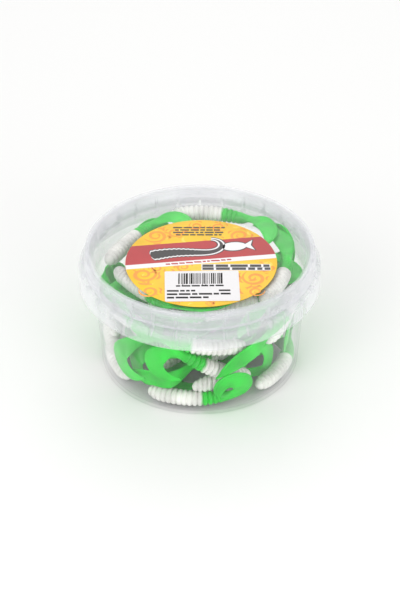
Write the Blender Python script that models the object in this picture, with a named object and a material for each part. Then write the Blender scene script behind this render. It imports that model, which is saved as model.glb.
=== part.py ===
"""A round see-through tub with a press-on lid, filled with two-colour curly-tail soft baits.

Sizes are in millimetres and are turned into metres where vertices are made. +Z is up, and the origin is
the middle of the tub's foot. Turn angles are measured from the front (-Y) towards +X.
"""

import math
from random import Random

import bmesh
import bpy
from mathutils.bvhtree import BVHTree

MM = 0.001
SEGMENTS = 60  # facets of a full turn; a multiple of the rib count

# Tub
FOOT_R = 49.8  # the sizes below are tied to this and to the rim's height
RIM_Z = 65.0
WALL_TAPER = 0.063  # radius gained for each millimetre of height
WALL_T = 0.9
FLOOR_T = 0.9
FOOT_H = 0.5  # the floor stands this far above the foot's lower edge
FLOOR_Z = FOOT_H + FLOOR_T
CORNER = 1.2  # size of the slope between the floor and the wall, inside
FOOT_W = 2.6
LEDGE_Z = RIM_Z - 8.0  # top of the ledge that carries the collar
LEDGE_T = 1.0
COLLAR_R = FOOT_R + 10.2
COLLAR_T = 1.0
COLLAR_H = 9.9
RIM_BEAD_R = FOOT_R + 6.1
RIM_T = 1.3
NECK_FLARE_Z = RIM_Z - 4.5  # the neck runs straight up to here, then flares out to the rim
RIB_COUNT = 30
RIB_T = 1.2
RIB_R = FOOT_R + 6.2
RIB_DROP = 6.0  # how far a rib reaches below the ledge

# Lid
LID_TOP_Z = RIM_Z + 1.5
PANEL_Z = RIM_Z - 3.8
PANEL_T = 0.8
PANEL_R = FOOT_R + 1.2
CREST_IN_R = RIM_BEAD_R - 1.3
CREST_OUT_R = RIM_BEAD_R + 0.2
SKIRT_GAP = 0.4  # between the rim's bead and the skirt
SKIRT_T = 0.8
SKIRT_Z = LEDGE_Z + 0.35
LID_LAND = 0.6  # between the rim's top and the channel's roof

# Labels
LABEL_R = PANEL_R - 13.7
LABEL_X = 0.6
LABEL_Y = -6.4
PAPER_T = 0.15
PAPER_GAP = 0.12
STICKER_W = 36.0
STICKER_D = 25.0
STICKER_X = 1.0
STICKER_Y = -26.8
STICKER_TURN = 1.2

# Tear tab, a stretch of the collar
TAB_START = 43.0
TAB_END = 56.0
TAB_SLOT_END = 59.5
TAB_HINGE_GAP = 0.3
TAB_TOP_GAP = 0.35

# Bait
BODY_L = 37.0
BODY_R = 4.25
TAIL_L = 36.0
TAIL_HALF_W = 5.0
TAIL_HALF_T = 0.65
TIP_HALF_W = 0.6
BAIT_SIDES = 6
BODY_STATIONS = (0.0, 0.045, 0.15, 0.42, 0.72, 0.97)  # shares of the body's length
TAIL_STATIONS = (0.09, 0.22, 0.36, 0.5, 0.64, 0.78, 0.9, 1.0)  # shares of the tail's length
PATH_STEP = 1.0

# Packing of the baits
BED_R = FOOT_R - 5.8  # radius at which arc lengths along the wall are true
SKIN_GAP = 0.35  # least gap between a bait and the plastic
BAIT_GAP = 0.3  # least gap between two baits
BODY_NEAR = SKIN_GAP + BODY_R + 0.1  # depth of a body that lies against the plastic
TAIL_NEAR = SKIN_GAP + TAIL_HALF_T + 0.1
BODY_UNDER = BODY_NEAR + 2 * TAIL_HALF_T + BAIT_GAP  # depth of a body that leaves room for a tail in front
BODY_SECOND = BODY_NEAR + 2 * BODY_R + 2 * BAIT_GAP  # depth of a body behind one against the plastic
TAIL_UNDER = TAIL_NEAR + 2 * TAIL_HALF_T + BAIT_GAP
TRIES = 300
NUDGES = {"a": 7.0, "b": 6.0, "heading": 30.0, "bend": 15.0, "curl": 60.0, "lean": 22.0, "depth": 9.0, "tail": 9.0}
INWARD_ONLY = ("depth", "tail")
MIDDLE_LAYERS = 5
MIDDLE_ROWS = 3
SEED = 7


def wall_r(z):
    """Outer radius of the tub's wall at height z."""
    return FOOT_R + WALL_TAPER * z


def wall_in(z):
    return wall_r(z) - WALL_T


# Objects and materials


def clear_scene():
    for obj in list(bpy.data.objects):
        bpy.data.objects.remove(obj, do_unlink=True)


def material(name, colour, roughness):
    made = bpy.data.materials.new(name)
    made.use_nodes = True
    shader = made.node_tree.nodes["Principled BSDF"]
    shader.inputs["Base Color"].default_value = (*colour, 1.0)
    shader.inputs["Roughness"].default_value = roughness
    shader.inputs["Metallic"].default_value = 0.0
    return made


def add_object(name, bm, surface=None, origin=(0.0, 0.0, 0.0)):
    """Makes an object of a bmesh in millimetres, with its origin at a point in millimetres."""
    bmesh.ops.remove_doubles(bm, verts=bm.verts, dist=0.0005)
    bmesh.ops.recalc_face_normals(bm, faces=bm.faces)
    bmesh.ops.translate(bm, verts=bm.verts, vec=[-value for value in origin])
    bmesh.ops.scale(bm, verts=bm.verts, vec=(MM, MM, MM))
    mesh = bpy.data.meshes.new(name)
    bm.to_mesh(mesh)
    bm.free()
    obj = bpy.data.objects.new(name, mesh)
    obj.location = [value * MM for value in origin]
    bpy.context.scene.collection.objects.link(obj)
    if surface:
        mesh.materials.append(surface)
        mesh.shade_smooth()
        mesh.set_sharp_from_angle(angle=math.radians(40))
    return obj


def turned(profile, start=0.0, sweep=360.0, steps=SEGMENTS):
    """A profile of (radius, height) points spun round the Z axis from the start angle."""
    bm = bmesh.new()
    first = math.radians(start - 90.0)
    ring = [bm.verts.new((r * math.cos(first), r * math.sin(first), z)) for r, z in profile]
    edges = [bm.edges.new((ring[i], ring[(i + 1) % len(ring)])) for i in range(len(ring))]
    whole = sweep >= 360.0
    geometry = edges + ring
    if not whole:
        geometry = geometry + [bm.faces.new(ring)]
    bmesh.ops.spin(
        bm,
        geom=geometry,
        cent=(0.0, 0.0, 0.0),
        axis=(0.0, 0.0, 1.0),
        angle=math.radians(sweep),
        steps=steps,
        use_merge=whole,
    )
    return bm


def slab(bm, outline, thickness, turn):
    """Adds an upright plate: an outline of (radius, height), thick along the tangent, at a turn angle."""
    angle = math.radians(turn - 90.0)
    radial = (math.cos(angle), math.sin(angle))
    half = thickness / 2

    def layer(side):
        return [bm.verts.new((r * radial[0] - side * radial[1], r * radial[1] + side * radial[0], z))
                for r, z in outline]

    near, far = layer(-half), layer(half)
    bm.faces.new(near)
    bm.faces.new(far[::-1])
    for i, vert in enumerate(near):
        j = (i + 1) % len(near)
        bm.faces.new((vert, far[i], far[j], near[j]))


def cut_or_join(obj, other, operation):
    modifier = obj.modifiers.new(operation.lower(), "BOOLEAN")
    modifier.operation = operation
    modifier.solver = "EXACT"
    modifier.use_self = False
    modifier.object = other
    other.hide_render = True
    other.display_type = "WIRE"


# Tub, lid and tear tab


def tub_profile():
    neck = wall_r(LEDGE_Z)
    flare = RIM_BEAD_R - 0.7
    rim_in = RIM_BEAD_R - RIM_T
    return [
        (0.0, FOOT_H),
        (FOOT_R - FOOT_W - 0.4, FOOT_H),
        (FOOT_R - FOOT_W, 0.0),
        (FOOT_R - 0.5, 0.0),
        (wall_r(0.7), 0.7),
        (wall_r(LEDGE_Z - LEDGE_T), LEDGE_Z - LEDGE_T),
        (COLLAR_R - COLLAR_T, LEDGE_Z - LEDGE_T),
        (COLLAR_R - COLLAR_T, LEDGE_Z - COLLAR_H),
        (COLLAR_R, LEDGE_Z - COLLAR_H),
        (COLLAR_R, LEDGE_Z - 0.6),
        (COLLAR_R - 0.6, LEDGE_Z),
        (neck, LEDGE_Z),
        (wall_r(NECK_FLARE_Z), NECK_FLARE_Z),
        (flare, RIM_Z - 1.8),
        (RIM_BEAD_R, RIM_Z - 1.4),
        (RIM_BEAD_R, RIM_Z - 0.4),
        (RIM_BEAD_R - 0.4, RIM_Z),
        (rim_in + 0.2, RIM_Z),
        (rim_in, RIM_Z - 0.3),
        (wall_in(NECK_FLARE_Z), NECK_FLARE_Z),
        (wall_in(FLOOR_Z + CORNER), FLOOR_Z + CORNER),
        (wall_in(FLOOR_Z) - CORNER, FLOOR_Z),
        (0.0, FLOOR_Z),
    ]


def rib_outline():
    """A gusset that stands in the neck's wall, the ledge and the collar's wall."""
    inset = WALL_T / 2
    return [
        (wall_r(LEDGE_Z - LEDGE_T) - inset, LEDGE_Z - LEDGE_T - 0.1),
        (COLLAR_R - COLLAR_T + inset, LEDGE_Z - RIB_DROP - LEDGE_T),
        (COLLAR_R - COLLAR_T + inset, LEDGE_Z - LEDGE_T / 2),
        (RIB_R, LEDGE_Z - LEDGE_T / 2),
        (RIB_R, RIM_Z - 2.6),
        (RIB_R - 1.7, RIM_Z - 2.6),
        (wall_r(NECK_FLARE_Z) - inset, NECK_FLARE_Z),
    ]


def make_tub(surface):
    tub = add_object("tub", turned(tub_profile()), surface)
    ribs = bmesh.new()
    for i in range(RIB_COUNT):
        slab(ribs, rib_outline(), RIB_T, i * 360.0 / RIB_COUNT)
    cut_or_join(tub, add_object("rib_tool", ribs), "UNION")
    low, high = LEDGE_Z - COLLAR_H - 1.0, LEDGE_Z - LEDGE_T
    inner = COLLAR_R - COLLAR_T - TAB_TOP_GAP
    window = [(inner, low), (COLLAR_R + 1.0, low), (COLLAR_R + 1.0, high), (inner, high)]
    start = TAB_START - math.degrees(TAB_HINGE_GAP / COLLAR_R)
    sweep = TAB_SLOT_END - start
    cut_or_join(tub, add_object("tab_window", turned(window, start, sweep, 5)), "DIFFERENCE")


def make_tear_tab(surface):
    low, high = LEDGE_Z - COLLAR_H, LEDGE_Z - LEDGE_T - TAB_TOP_GAP
    inner = COLLAR_R - COLLAR_T
    outline = [(inner, low), (COLLAR_R, low), (COLLAR_R, high), (inner, high)]
    hinge = math.radians(TAB_START - 90.0)
    origin = (COLLAR_R * math.cos(hinge), COLLAR_R * math.sin(hinge), LEDGE_Z - COLLAR_H / 2)
    tab = turned(outline, TAB_START, TAB_END - TAB_START, 4)
    add_object("tear_tab", tab, surface, origin)


def make_lid(surface):
    skirt_in = RIM_BEAD_R + SKIRT_GAP
    roof_z = RIM_Z + LID_LAND
    under_z = PANEL_Z - PANEL_T
    profile = [
        (0.0, under_z),
        (PANEL_R - 0.3, under_z),
        (PANEL_R + 1.1, under_z + 0.5),
        (CREST_IN_R - 0.2, roof_z - 0.35),
        (CREST_IN_R + 0.1, roof_z),
        (skirt_in - 0.4, roof_z),
        (skirt_in, roof_z - 0.5),
        (skirt_in + 0.4, SKIRT_Z),
        (skirt_in + 0.4 + SKIRT_T, SKIRT_Z),
        (skirt_in + 0.3 + SKIRT_T, PANEL_Z - 0.2),
        (skirt_in + SKIRT_T, PANEL_Z + 0.2),
        (skirt_in + SKIRT_T - 0.25, LID_TOP_Z - 1.1),
        (CREST_OUT_R + 0.45, LID_TOP_Z - 0.3),
        (CREST_OUT_R, LID_TOP_Z),
        (CREST_IN_R, LID_TOP_Z),
        (CREST_IN_R - 0.5, LID_TOP_Z - 0.3),
        (PANEL_R + 0.5, PANEL_Z + 0.4),
        (PANEL_R, PANEL_Z),
        (0.0, PANEL_Z),
    ]
    add_object("lid", turned(profile), surface)


def make_labels(label_surface, sticker_surface):
    bottom = PANEL_Z + PAPER_GAP
    top = bottom + PAPER_T
    bm = bmesh.new()
    made = bmesh.ops.create_circle(bm, cap_ends=True, segments=SEGMENTS, radius=LABEL_R)
    bmesh.ops.translate(bm, verts=made["verts"], vec=(LABEL_X, LABEL_Y, bottom))
    thicken(bm, PAPER_T)
    add_object("lid_label", bm, label_surface)
    low = top + PAPER_GAP
    turn = math.radians(STICKER_TURN)
    bm = bmesh.new()
    corners = []
    for sx, sy in ((-1, -1), (1, -1), (1, 1), (-1, 1)):
        x, y = sx * STICKER_W / 2, sy * STICKER_D / 2
        placed = (STICKER_X + x * math.cos(turn) - y * math.sin(turn),
                  STICKER_Y + x * math.sin(turn) + y * math.cos(turn), low)
        corners.append(bm.verts.new(placed))
    bm.faces.new(corners)
    thicken(bm, PAPER_T)
    add_object("barcode_sticker", bm, sticker_surface)


def thicken(bm, height):
    """Extrudes the flat faces of a bmesh straight up into a closed sheet."""
    made = bmesh.ops.extrude_face_region(bm, geom=bm.faces[:], use_keep_orig=True)
    top = [item for item in made["geom"] if isinstance(item, bmesh.types.BMVert)]
    bmesh.ops.translate(bm, verts=top, vec=(0.0, 0.0, height))


# Shape of a bait


def on_wall(a, b, depth):
    """A point on the wall's bed: arc length from the front, height and depth inwards."""
    turn = a / BED_R - math.pi / 2
    r = wall_in(b) - depth
    return r * math.cos(turn), r * math.sin(turn), b


def under_lid(a, b, depth):
    return a, b, PANEL_Z - PANEL_T - depth


def on_floor(a, b, depth):
    return a, b, FLOOR_Z + depth


def body_radius(u):
    """Radius of the body, u from 0 at the nose to 1 at the tail's root."""
    nose = math.sqrt(max(0.0, 1.0 - (1.0 - min(1.0, u / 0.2)) ** 2))
    taper = 1.0 - 0.28 * max(0.0, (u - 0.55) / 0.45) ** 1.8
    return BODY_R * (0.2 + 0.8 * nose) * taper


def tail_half_width(t):
    """Half width of the tail, t from 0 at the root to 1 at the tip."""
    root = body_radius(1.0) * (1.0 - smooth(t / 0.3))
    swell = smooth(t / 0.38) * (1.0 - max(0.0, (t - 0.45) / 0.55) ** 2.2)
    return max(TIP_HALF_W, root * 0.8 + TAIL_HALF_W * swell)


def tail_half_thickness(t):
    return max(TAIL_HALF_T, body_radius(1.0) * (1.0 - smooth(t / 0.25)))


def smooth(t):
    t = min(1.0, max(0.0, t))
    return t * t * (3.0 - 2.0 * t)


def heading_at(s, bait):
    """Heading in radians at a length s from the nose."""
    heading = bait["heading"] + bait["bend"] * (min(s, BODY_L) / BODY_L - 0.5)
    t = max(0.0, s - BODY_L) / TAIL_L
    return math.radians(heading + bait["curl"] * (0.35 * t + 0.65 * smooth(t)))


def depth_at(s, bait):
    lean = math.tan(math.radians(bait["lean"]))
    body = bait["depth"] + (min(s, BODY_L) - BODY_L / 2) * lean
    return body + (bait["tail"] - body) * smooth((s - BODY_L) / (0.42 * TAIL_L))


def centreline(bait, stations):
    """(a, b, heading, depth) at each station, with the middle of the body at the bait's place."""
    count = int((BODY_L + TAIL_L) / PATH_STEP) + 1
    points = [(0.0, 0.0)]
    for i in range(count):
        angle = heading_at((i + 0.5) * PATH_STEP, bait)
        a, b = points[-1]
        points.append((a + PATH_STEP * math.cos(angle), b + PATH_STEP * math.sin(angle)))
    middle = points[int(BODY_L / 2 / PATH_STEP)]
    found = []
    for s in stations:
        i = min(int(s / PATH_STEP), count - 1)
        part = s / PATH_STEP - i
        a = points[i][0] + (points[i + 1][0] - points[i][0]) * part - middle[0] + bait["a"]
        b = points[i][1] + (points[i + 1][1] - points[i][1]) * part - middle[1] + bait["b"]
        found.append((a, b, heading_at(s, bait), depth_at(s, bait)))
    return found


def bait_mesh(bait, spare=0.0):
    """Points and faces of the plain bait, thicker by the spare all round: rings down the body and the tail."""
    stations = [u * BODY_L for u in BODY_STATIONS] + [BODY_L + t * TAIL_L for t in TAIL_STATIONS]
    sizes = [(body_radius(u), body_radius(u)) for u in BODY_STATIONS]
    sizes += [(tail_half_width(t), tail_half_thickness(t)) for t in TAIL_STATIONS]
    points = []
    for (a, b, heading, depth), (wide, thick) in zip(centreline(bait, stations), sizes):
        for k in range(BAIT_SIDES):
            angle = 2 * math.pi * k / BAIT_SIDES
            v = (wide + spare) * math.cos(angle)
            w = (thick + spare) * math.sin(angle)
            points.append(bait["bed"](a - v * math.sin(heading), b + v * math.cos(heading), depth + w))
    last = len(points) - BAIT_SIDES
    faces = [tuple(range(BAIT_SIDES)), tuple(range(len(points) - 1, last - 1, -1))]
    for start in range(0, last, BAIT_SIDES):
        for k in range(BAIT_SIDES):
            j = (k + 1) % BAIT_SIDES
            faces.append((start + k, start + j, start + BAIT_SIDES + j, start + BAIT_SIDES + k))
    return points, faces


# Packing


def wall_bait(turn, height, heading, bend=0.0, lean=0.0, curl=200.0, depth=BODY_NEAR, tail=TAIL_NEAR):
    return {"bed": on_wall, "a": math.radians(turn) * BED_R, "b": height, "heading": heading, "bend": bend,
            "lean": lean, "curl": curl, "depth": depth, "tail": tail}


def flat_bait(bed, x, y, heading, bend=0.0, lean=0.0, curl=200.0, depth=BODY_NEAR, tail=TAIL_NEAR):
    return {"bed": bed, "a": x, "b": y, "heading": heading, "bend": bend,
            "lean": lean, "curl": curl, "depth": depth, "tail": tail}


def front_baits():
    """The baits that show through the front of the wall, nearest first."""
    low = FLOOR_Z + BODY_NEAR
    return [
        wall_bait(-10, low, 1, curl=290),
        wall_bait(12.5, 22.6, 152, bend=-8, curl=225, depth=BODY_UNDER, tail=TAIL_UNDER),
        wall_bait(6, 37.0, 174, bend=4, curl=-60, depth=BODY_UNDER, tail=TAIL_UNDER),
        wall_bait(74, 43.0, 190, bend=10, curl=30),
        wall_bait(24, 21.5, 192, depth=22.0, lean=-14, curl=10),
        wall_bait(19, 12.8, 0, depth=11.5, lean=21, curl=200, tail=24.0),
        wall_bait(63, low, 0, bend=-4, curl=165),
        wall_bait(10, 11.5, 8, depth=24.0, curl=125),
        wall_bait(-14, 31.5, 182, depth=BODY_SECOND, curl=205),
        wall_bait(-76, low, 180, curl=-180),
        wall_bait(-12, 21.5, 180, depth=BODY_SECOND + 8.6, curl=190),
        wall_bait(-84, 17.0, 178, bend=-8, curl=-190),
        wall_bait(-62, 42.5, 184, bend=-8, curl=190),
        wall_bait(-92, 30.0, 182, curl=200),
        wall_bait(62, 33.0, 176, depth=BODY_SECOND, curl=-150, tail=TAIL_UNDER),
        wall_bait(70, 18.5, 182, depth=BODY_UNDER, curl=-180),
    ]


def top_baits():
    """The baits that show through the lid, uppermost first."""
    return [
        flat_bait(under_lid, 2.5, 46.0, -3, bend=-45, curl=-84),
        flat_bait(under_lid, -37, 17.5, 57, bend=-16, curl=-190),
        flat_bait(under_lid, -30.5, -19, -48, bend=24, curl=62),
        flat_bait(under_lid, 38.5, -13.5, 66, bend=30, curl=64, tail=TAIL_UNDER),
        flat_bait(under_lid, 16.0, 11.0, 224, bend=-8, curl=-170, depth=BODY_NEAR + 0.6),
        flat_bait(under_lid, -22, -2, 176, bend=10, curl=210, depth=BODY_NEAR + 6.0, tail=8.0),
        flat_bait(under_lid, 10, -34.5, 192, bend=-26, curl=-200, depth=BODY_NEAR + 2.0, tail=6.0),
        flat_bait(under_lid, 2, 28, 160, bend=20, curl=170, depth=BODY_NEAR + 1.0),
        flat_bait(under_lid, 8, -14, 20, bend=-12, curl=-180, depth=BODY_NEAR + 1.0),
        flat_bait(under_lid, -14, 12, 20, curl=150, depth=BODY_NEAR + 4.0, tail=6.0),
    ]


def back_baits():
    """Rows of baits round the back of the wall, each row turned a little from the one below."""
    baits = []
    for row, height in enumerate((FLOOR_Z + BODY_NEAR, 18.0, 30.5, 43.0)):
        for column in range(3 + row % 2):
            way = 1 if (row + column) % 2 else -1
            turn = 118.0 + 64.0 * column - 24.0 * (row % 2)
            heading = (0.0 if way > 0 else 180.0) + 9.0 * math.sin(2.4 * row + 1.7 * column) * min(row, 1)
            baits.append(wall_bait(turn, height, heading, bend=-10.0 * way, curl=200.0 * way))
    return baits


def middle_baits():
    """Layers of baits in the middle of the heap, each layer turned from the one below."""
    baits = []
    for layer in range(MIDDLE_LAYERS):
        turn = 20.0 + 62.0 * layer
        depth = BODY_NEAR + 10.2 * layer
        for row in range(MIDDLE_ROWS):
            across = 15.0 * (row - (MIDDLE_ROWS - 1) / 2)
            way = 1 if (layer + row) % 2 else -1
            angle = math.radians(turn)
            x = -across * math.sin(angle) - 7.0 * way * math.cos(angle)
            y = across * math.cos(angle) - 7.0 * way * math.sin(angle)
            heading = turn if way > 0 else turn + 180.0
            baits.append(flat_bait(on_floor, x, y, heading, bend=8.0 * way, curl=200.0, depth=depth, tail=depth))
    return baits


def inside(points):
    """Whether every point has its gap to the tub and the lid."""
    for x, y, z in points:
        r = math.hypot(x, y) + SKIN_GAP
        if z < FLOOR_Z + SKIN_GAP or z > PANEL_Z - PANEL_T - SKIN_GAP or r > wall_in(z):
            return False
        if r - wall_in(FLOOR_Z) + CORNER > z - FLOOR_Z:
            return False
    return True


def nudged(bait, reach, chance):
    moved = dict(bait)
    for key, most in NUDGES.items():
        least = 0.0 if key in INWARD_ONLY else -most
        moved[key] += reach * chance.uniform(least, most)
    return moved


def settled(bait, placed, chance):
    """The bait where it clears the plastic and every bait placed before, moved no further than it needs."""
    for attempt in range(TRIES):
        trial = nudged(bait, attempt / TRIES, chance)
        points, faces = bait_mesh(trial, BAIT_GAP)
        if inside(points):
            shape = BVHTree.FromPolygons(points, faces)
            if not any(shape.overlap(other) for other in placed):
                placed.append(BVHTree.FromPolygons(*bait_mesh(trial)))
                return trial
    return None


def make_bait(name, bait, surface):
    points, faces = bait_mesh(bait)
    bm = bmesh.new()
    verts = [bm.verts.new(point) for point in points]
    for face in faces:
        bm.faces.new([verts[i] for i in face])
    add_object(name, bm, surface)


def packed_baits():
    """The baits that find room where they are listed, each with its number in the lists."""
    placed = []
    listed = front_baits() + top_baits() + back_baits() + middle_baits()
    settled_baits = [(number, settled(bait, placed, Random(SEED + number))) for number, bait in enumerate(listed, 1)]
    return [(number, bait) for number, bait in settled_baits if bait]


def main():
    clear_scene()
    clear_plastic = material("clear_polypropylene", (0.86, 0.88, 0.89), 0.25)
    label_paper = material("printed_paper", (0.90, 0.52, 0.06), 0.5)
    white_paper = material("white_paper", (0.85, 0.83, 0.85), 0.6)
    soft_plastic = material("soft_plastic", (0.78, 0.80, 0.74), 0.45)
    make_tub(clear_plastic)
    make_tear_tab(clear_plastic)
    make_lid(clear_plastic)
    make_labels(label_paper, white_paper)
    for number, bait in packed_baits():
        make_bait(f"bait_{number:02d}", bait, soft_plastic)


main()
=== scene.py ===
"""A round see-through tub with a press-on lid, full of two-colour curly-tail soft plastic worms.

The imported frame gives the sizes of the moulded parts. Lengths are in millimetres up to the point where a
vertex is placed. +Z is up, and turn angles are measured from the front (-Y) towards +X.
"""

import math
from random import Random
import bmesh
import bpy
import numpy as np
from bpy.props import FloatProperty, FloatVectorProperty, IntProperty, PointerProperty
from mathutils import Matrix, Vector
from mathutils.bvhtree import BVHTree


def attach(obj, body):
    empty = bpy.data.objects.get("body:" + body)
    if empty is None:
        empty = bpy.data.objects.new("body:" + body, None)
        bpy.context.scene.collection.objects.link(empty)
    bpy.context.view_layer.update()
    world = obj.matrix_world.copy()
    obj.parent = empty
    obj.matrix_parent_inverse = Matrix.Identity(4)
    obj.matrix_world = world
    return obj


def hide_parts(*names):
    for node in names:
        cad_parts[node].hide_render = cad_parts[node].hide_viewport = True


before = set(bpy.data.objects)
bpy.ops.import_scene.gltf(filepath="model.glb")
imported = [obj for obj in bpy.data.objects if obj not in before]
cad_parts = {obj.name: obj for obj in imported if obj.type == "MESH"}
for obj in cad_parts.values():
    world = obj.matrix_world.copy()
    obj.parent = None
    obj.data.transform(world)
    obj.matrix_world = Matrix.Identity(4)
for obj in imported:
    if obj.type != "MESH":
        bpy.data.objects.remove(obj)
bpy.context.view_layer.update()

bl_info = {
    "name": "Tub of Curly-Tail Worms",
    "version": (1, 0, 0),
    "blender": (4, 5, 0),
    "location": "View3D > Sidebar > Worm Tub",
    "description": "Builds a lidded see-through tub of ribbed curly-tail soft plastic worms",
    "category": "Object",
}

MM = 0.001
TURN = 2 * math.pi

# Tub
FOOT_R = 49.8
WALL_TAPER = 0.063
WALL_T = 0.9
FLOOR_T = 0.9
FOOT_H = 0.5
FLOOR_Z = FOOT_H + FLOOR_T
FOOT_W = 2.6
CORNER = 1.2
LEDGE_Z = 57.0
LEDGE_T = 1.0
COLLAR_R = 60.0
COLLAR_T = 1.0
COLLAR_H = 9.9
RIM_Z = 65.0
RIM_BEAD_R = 55.9
RIM_T = 1.3
NECK_FLARE_Z = 60.5
RIB_COUNT = 30
RIB_T = 1.2
RIB_R = 56.0
RIB_DROP = 6.0

# Lid
LID_TOP_Z = 66.5
PANEL_Z = 61.2
PANEL_T = 0.8
PANEL_R = 51.0
CREST_IN_R = 54.6
CREST_OUT_R = 56.1
SKIRT_GAP = 0.4
SKIRT_T = 0.8
SKIRT_Z = 57.35
LID_LAND = 0.6

# Where the plastic is frosted: outside and above these, which is the collar and the lid's crest
FROST_IN_R = 51.0
FROST_FULL_R = 53.0
FROST_LOW_Z = 46.0
FROST_FULL_Z = 47.5

# Labels
LABEL_R = 37.3
LABEL_X = 0.6
LABEL_Y = -6.4
LABEL_TURN = 7.6
PAPER_T = 0.15
PAPER_GAP = 0.12
INK_T = 0.015
INK_EDGE = 0.3
SPRIG_TRIES = 110
LEAVES_PER_SCROLL = 4
BAR_W = 0.33
STICKER_W = 36.0
STICKER_D = 25.0
STICKER_X = 1.0
STICKER_Y = -26.8
STICKER_TURN = 1.2

# Tear tab
TAB_START = 43.0
TAB_END = 56.0
TAB_SLOT_END = 59.5
TAB_HINGE_GAP = 0.3
TAB_TOP_GAP = 0.35
TAB_FACETS = 24
GRIP_RIDGES = 3
GRIP_PITCH = 1.5
GRIP_SWEEP = 0.7

# Worm
BODY_L = 37.0
BODY_R = 4.25
TAIL_L = 36.0
TAIL_HALF_W = 5.0
TAIL_HALF_T = 0.65
TIP_HALF_W = 0.6
OUTLINE_SIDES = 6
BODY_STATIONS = (0.0, 0.045, 0.15, 0.42, 0.72, 0.97)
RIB_STEPS = 6
TAIL_STEPS = 24
WORM_SIDES = 20
TAIL_STATIONS = (0.09, 0.22, 0.36, 0.5, 0.64, 0.78, 0.9, 1.0)
PATH_STEP = 1.0

# Packing of the worms
BED_R = 44.0
SKIN_GAP = 0.35
WORM_GAP = 0.3
BODY_NEAR = SKIN_GAP + BODY_R + 0.1
TAIL_NEAR = SKIN_GAP + TAIL_HALF_T + 0.1
BODY_UNDER = BODY_NEAR + 2 * TAIL_HALF_T + WORM_GAP
BODY_SECOND = BODY_NEAR + 2 * BODY_R + 2 * WORM_GAP
TAIL_UNDER = TAIL_NEAR + 2 * TAIL_HALF_T + WORM_GAP
TRIES = 300
FILLER_SPARE = -0.7
FILLER_TRIES = 40
FILLER_ROUNDS = 14
FILLER_GROUP = 10
WALL_SHARE = 0.45
LID_SHARE = 0.75
NUDGES = {
    "a": 7.0, "b": 6.0, "heading": 30.0, "bend": 15.0, "curl": 60.0, "lean": 22.0, "depth": 9.0, "tail": 9.0,
}
INWARD_ONLY = ("depth", "tail")
MIDDLE_LAYERS = 5
MIDDLE_ROWS = 3
MIDDLE_LAYER_PITCH = 10.2
MIDDLE_ROW_PITCH = 15.0
MIDDLE_SHIFT = 7.0
CORE_R = 27.0
CORE_OVERHANG = 12.0
SEED = 7


def linear(code):
    """Linear colour of an sRGB hex code."""
    channels = [int(code[i : i + 2], 16) / 255 for i in (1, 3, 5)]
    return tuple(c / 12.92 if c <= 0.04045 else ((c + 0.055) / 1.055) ** 2.4 for c in channels)


def per_mm(size):
    """Scale of a noise or wave whose features are this many millimetres across."""
    return 1.0 / (size * MM)


def smooth(t):
    """0 up to t = 0 and 1 from t = 1, with a soft start and end between."""
    t = min(1.0, max(0.0, t))
    return t * t * (3.0 - 2.0 * t)


def wall_r(z):
    """Outer radius of the tub's wall at a height."""
    return FOOT_R + WALL_TAPER * z


def wall_in(z):
    """Inner radius of the tub's wall at a height."""
    return wall_r(z) - WALL_T


# Properties


def colour_property(name, description, code):
    return FloatVectorProperty(name=name, description=description, subtype="COLOR", size=3, min=0.0, max=1.0,
                               default=linear(code))


class TubProperties(bpy.types.PropertyGroup):
    facets: IntProperty(name="Facets", description="Facets of a full turn", default=240, min=60, max=480)
    haze: FloatProperty(name="Haze", description="Share of light each face of the plastic scatters",
                        default=0.008, min=0.0, max=1.0, subtype="FACTOR")
    frost: FloatProperty(name="Frost", description="The same share in the collar and the lid's crest",
                         default=0.24, min=0.0, max=1.0, subtype="FACTOR")
    colour: colour_property("Plastic", "Colour of the scattered light in the plastic", "#F4F5F9")


class WormProperties(bpy.types.PropertyGroup):
    filler_count: IntProperty(name="Filler worms", description="Worms added in the middle of the heap",
                              default=20, min=0, max=60)
    core_count: IntProperty(name="Core worms", description="Worms in the middle, which pass through others",
                            default=60, min=0, max=90)
    rib_pitch: FloatProperty(name="Rib pitch", description="Distance between ribs", default=2.5 * MM,
                             min=MM, max=5 * MM, unit="LENGTH", precision=5)
    rib_depth: FloatProperty(name="Rib depth", description="Depth of the grooves between ribs",
                             default=0.85 * MM, min=0.0, max=2 * MM, unit="LENGTH", precision=5)
    body: colour_property("Body", "Colour of the ribbed body", "#F2F1EC")
    tail: colour_property("Tail", "Colour of the tail and the last ribs", "#00D428")


class LabelProperties(bpy.types.PropertyGroup):
    ground: colour_property("Ground", "Ground of the label", "#FBC916")
    scroll: colour_property("Scrolls", "Scrolls printed on the ground", "#F59A12")
    gold: colour_property("Sprigs", "Light sprigs between the scrolls", "#FFD94A")
    band: colour_property("Band", "Wide band across the label", "#B5121A")
    black: colour_property("Black", "Dark ink", "#1C1718")
    white: colour_property("White", "White ink and the sticker", "#F1EFF0")


class StageProperties(bpy.types.PropertyGroup):
    distance: FloatProperty(name="Distance", description="Distance of the camera", default=1.0, min=0.3, max=3.0,
                            unit="LENGTH")
    elevation: FloatProperty(name="Elevation", description="Height of the camera above the horizon",
                             default=math.radians(35.89), min=0.0, max=math.pi / 2, subtype="ANGLE")
    lens: FloatProperty(name="Lens", description="Focal length", default=119.6, min=20.0, max=300.0, unit="CAMERA")
    floor: colour_property("Floor", "Colour of the floor", "#F7F7F6")


# Nodes and materials


def add_node(tree, kind, values=None, links=None):
    """Adds a node, with its settings and socket values, and with its inputs linked from other sockets."""
    node = tree.nodes.new(kind)
    for name, value in (values or {}).items():
        if isinstance(name, int) or name in node.inputs:
            node.inputs[name].default_value = value
        else:
            setattr(node, name, value)
    for name, source in (links or {}).items():
        tree.links.new(source, node.inputs[name])
    return node


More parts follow.
